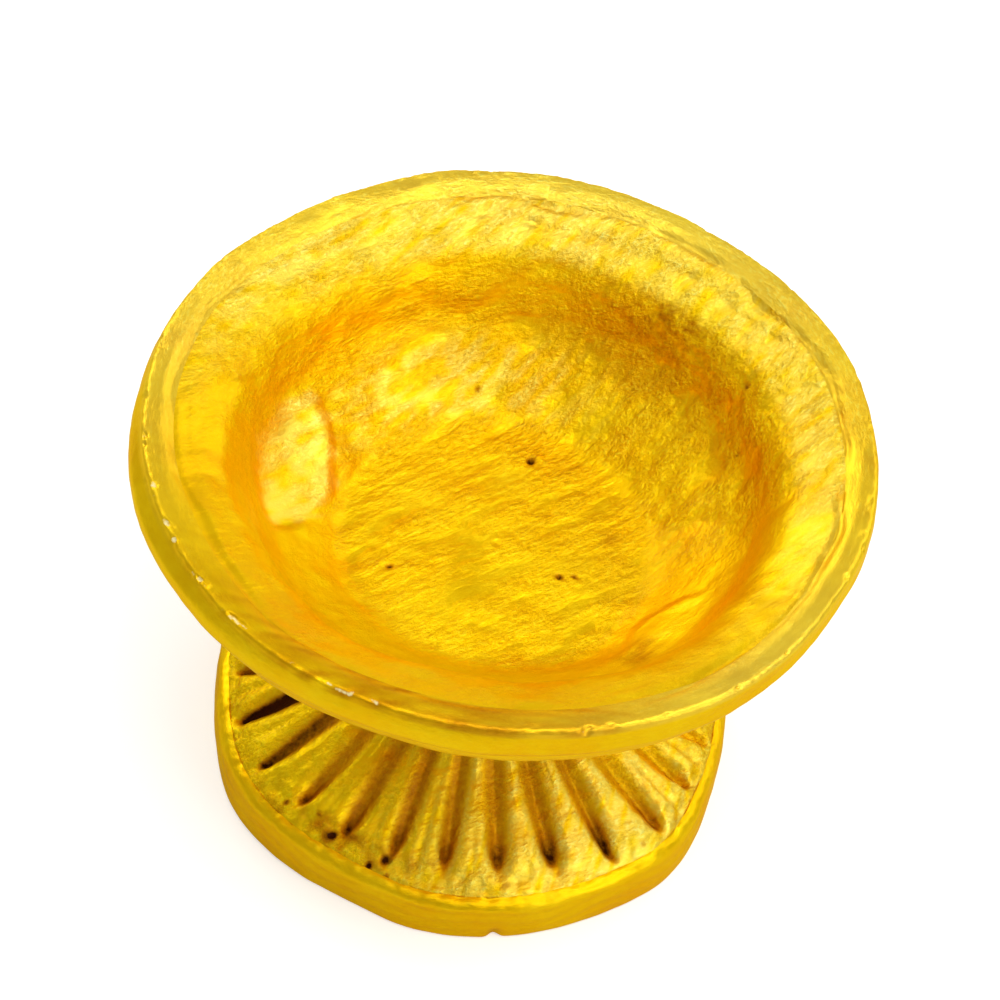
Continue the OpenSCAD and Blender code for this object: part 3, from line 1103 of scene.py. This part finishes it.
# %% Press and turn the strip
tuck_r = skirt_r - 0.15  # the strip bites a little into the foot, so no gap shows
strip_outline = path(
    ([(tuck_r, strip_z - 0.6), (tuck_r, 0)], 0.9),
    ([(tuck_r, 0), (base_r - 0.5, 0)], 0.4),
    (bow((base_r - 0.5, 0), (base_r - 0.1, 0.5), 0.1), 0.15),
    (bow((base_r - 0.1, 0.5), (base_r - 0.1, strip_z - 1.2), 0.08), 0.22),
    (bow((base_r - 0.1, strip_z - 1.2), (base_r - 0.5, strip_z - 0.35), 0.1), 0.15),
    (bow((base_r - 0.5, strip_z - 0.35), (skirt_r - 0.1, strip_z + 0.05), 0.05), 0.15),
    ([(skirt_r - 0.1, strip_z + 0.05), (skirt_r - 0.3, strip_z - 0.3), (tuck_r, strip_z - 0.6)], 0.3),
)[:-1]


def press_strip(grid):
    """Presses the strip: faint layers, a ragged upper edge and the nick."""
    x, y, r, z, turn = (grid[k] for k in ("x", "y", "r", "z", "turn"))
    free = np.where(z > strip_z - 0.7, 1, ease(r, skirt_r, skirt_r + 0.4))
    layers = 0.03 * np.sin(2 * math.pi * (z / 1.5 + 0.3 * waves(x, y, 0 * z, 14, 31)))
    layers = layers * ease(z, 0.6, 1.5)
    relief = layers + 0.015 * waves(x, y, z, 3.0, 32) + 0.06 * waves(x, y, z, 9, 33)
    ragged = ease(z, strip_z - 1.6, strip_z - 0.2)
    nick = 0.6 * near_turn(turn, 282, 1.3) * ease(2.4 - z, 0, 2)
    relief = relief * (1 - ragged) + hem(x, y, z)
    new_r = r + free * (relief * grid["out"][:, 0] - nick)
    new_r = new_r + base_wander(turn) * ease(strip_z + 4 - z, 0, 4)
    new_z = z + free * ragged * relief * grid["out"][:, 1]
    lowest = np.where(z < 0.01, z, np.maximum(new_z, 0.02))
    return new_r, lowest, {"dirt_and_shade": 0.0, "rubbed_and_highlight": 0.1 * ease(0.6 - z, 0, 0.5), "dryness": 0.35}


strip = turned("base_strip_clay", strip_outline, around=720, press=press_strip, ring=True)
finish_piece(strip, "base_strip", "gold_strip", strip_paint)

# %% Press and turn the slip
slip_outline = path(
    ([(peg_r, seat_z), (peg_r, foot_z)], 0.5),
    ([(peg_r, foot_z), (neck_r, foot_z)], 0.8),
    (bow((neck_r, foot_z), (neck_r, seat_z), 0.9), 0.12),
    ([(neck_r, seat_z), (peg_r, seat_z)], 0.8),
)[:-1]


def press_slip(grid):
    """Presses only the bead that squeezed out round the neck."""
    x, y, r, z = (grid[k] for k in ("x", "y", "r", "z"))
    bead = ease(r, neck_r, neck_r + 0.5)
    new_r = r + bead * (0.18 * waves(x, y, 0 * z, 6, 41) + 0.05 * waves(x, y, z, 1.5, 42))
    return new_r, z, {"dirt_and_shade": 0.3 * (1 - bead), "rubbed_and_highlight": 0.0, "dryness": 0.5}


slip = turned("neck_slip_clay", slip_outline, around=300, press=press_slip, ring=True)
finish_piece(slip, "neck_slip", "gold_slip", slip_paint)

# %% [markdown]
# ## Stage, light and camera
#
# Gold looks like what it reflects, so the lights make most of its colour. A pale room gives the
# even yellow. A large soft light above, with a small bright one in it like a window, makes the
# pale patches on the far flange and in the dish. Six more stand round the lamp and give the glints
# on the wall, the rim and the foot, and the pale floor lights the underside. One picture of a real
# room on the world could do the same, but lights can be moved one at a time.
#
# The floor and the room look white, but if they lit the gold as white it would lose its shadows.
# A Light Path node makes them brighter for the camera alone. The camera looks down at about 49
# degrees and leans a little, as a hand-held one does.

# %% The floor and the room
def plain(name, colour, roughness):
    """A matt material of one colour."""
    material = bpy.data.materials.new(name)
    material.use_nodes = True
    shader = material.node_tree.nodes["Principled BSDF"]
    shader.inputs["Base Color"].default_value = (*colour, 1)
    shader.inputs["Roughness"].default_value = roughness
    return material


def shown_white(material, extra):
    """Adds a little light of its own to a material, for the camera only, so that it shows white."""
    tree = material.node_tree
    ray = tree.nodes.new("ShaderNodeLightPath")
    shader = tree.nodes["Principled BSDF"]
    shader.inputs["Emission Color"].default_value = (1, 1, 1, 1)
    glow = math_node(tree, "MULTIPLY", ray.outputs["Is Camera Ray"], extra)
    tree.links.new(glow, shader.inputs["Emission Strength"])


ROOM_LIGHT = 0.43  # how bright the gold sees the room, where the camera sees 1
FLOOR_SIZE = 6  # metres

bpy.ops.mesh.primitive_plane_add(size=FLOOR_SIZE)
floor = bpy.context.object
floor.name = "floor"
floor.data.materials.append(plain("pale floor", (0.8, 0.8, 0.8), 0.9))
shown_white(floor.data.materials[0], 0.5)

world = bpy.data.worlds.new("pale room")
bpy.context.scene.world = world
world.use_nodes = True
room = world.node_tree.nodes["Background"]
room.inputs["Color"].default_value = (1, 1, 1, 1)
room_tree = world.node_tree
seen = room_tree.nodes.new("ShaderNodeLightPath").outputs["Is Camera Ray"]
extra = math_node(room_tree, "MULTIPLY", seen, 1 - ROOM_LIGHT)
strength = math_node(room_tree, "ADD", extra, ROOM_LIGHT)
room_tree.links.new(strength, room.inputs["Strength"])
print(f"floor {FLOOR_SIZE} m wide, and a room of brightness {ROOM_LIGHT}")


# %% Soft lights
def softbox(name, azimuth, elevation, distance, size, brightness):
    """A square light in that direction from the dish, facing it.

    At brightness 1 it looks like white paper in full light.
    """
    light = bpy.data.lights.new(name, "AREA")
    light.size = size
    light.energy = brightness * math.pi * size**2
    lamp = bpy.data.objects.new(name, light)
    bpy.context.scene.collection.objects.link(lamp)
    a, e = math.radians(azimuth), math.radians(elevation)
    way = Vector((math.cos(e) * math.cos(a), math.cos(e) * math.sin(a), math.sin(e)))
    lamp.location = Vector((0, 0, rim_z * MM)) + way * distance
    lamp.rotation_euler = way.to_track_quat("Z", "Y").to_euler()


SOFTBOXES = [  # name, degrees round from +X, degrees up, distance and size in metres, brightness
    ("light above", 285, 78, 0.7, 0.6, 1.25),
    ("window above", 278, 80, 0.7, 0.16, 4.5),
    ("light at the upper right", 14, 55, 0.75, 0.28, 1.4),
    ("light at the upper right front", 346, 61, 0.75, 0.28, 2.1),
    ("light at the right", 44, 29, 0.7, 0.5, 1.0),
    ("light at the back", 90, 6, 0.7, 0.5, 0.4),
    ("light at the back left", 130, 30, 0.7, 0.4, 2.1),
    ("light at the right front", 325, 24, 0.7, 0.4, 2.0),
]
for box in SOFTBOXES:
    softbox(*box)


# %% The camera
def set_camera(elevation, lean, distance, aim_z, lens, aim):
    """A camera on the -Y side. aim is how far it points right of and above its target, as slopes."""
    e, roll = math.radians(elevation), math.radians(lean)
    back = Vector((0, -math.cos(e), math.sin(e)))
    up = Vector((0, math.sin(e), math.cos(e)))
    forward = (-back + Vector((1, 0, 0)) * aim[0] + up * aim[1]).normalized()
    side = forward.cross(up).normalized()
    top = side.cross(forward)
    x_axis = side * math.cos(roll) + top * math.sin(roll)
    y_axis = top * math.cos(roll) - side * math.sin(roll)
    data = bpy.data.cameras.new("camera")
    data.lens = lens
    data.sensor_width = 36
    camera = bpy.data.objects.new("camera", data)
    place = Matrix((x_axis, y_axis, -forward)).transposed().to_4x4()
    place.translation = Vector((0, 0, aim_z)) + back * distance
    camera.matrix_world = place
    bpy.context.scene.collection.objects.link(camera)
    bpy.context.scene.camera = camera
    return camera


camera = set_camera(
    elevation=48.76,
    lean=8.57,
    distance=0.42,
    aim_z=rim_z * MM,
    lens=159.6,
    aim=(-0.00056, -0.01451),
)
bpy.context.scene.view_settings.view_transform = "Standard"
print("camera at", [round(v, 3) for v in camera.location])
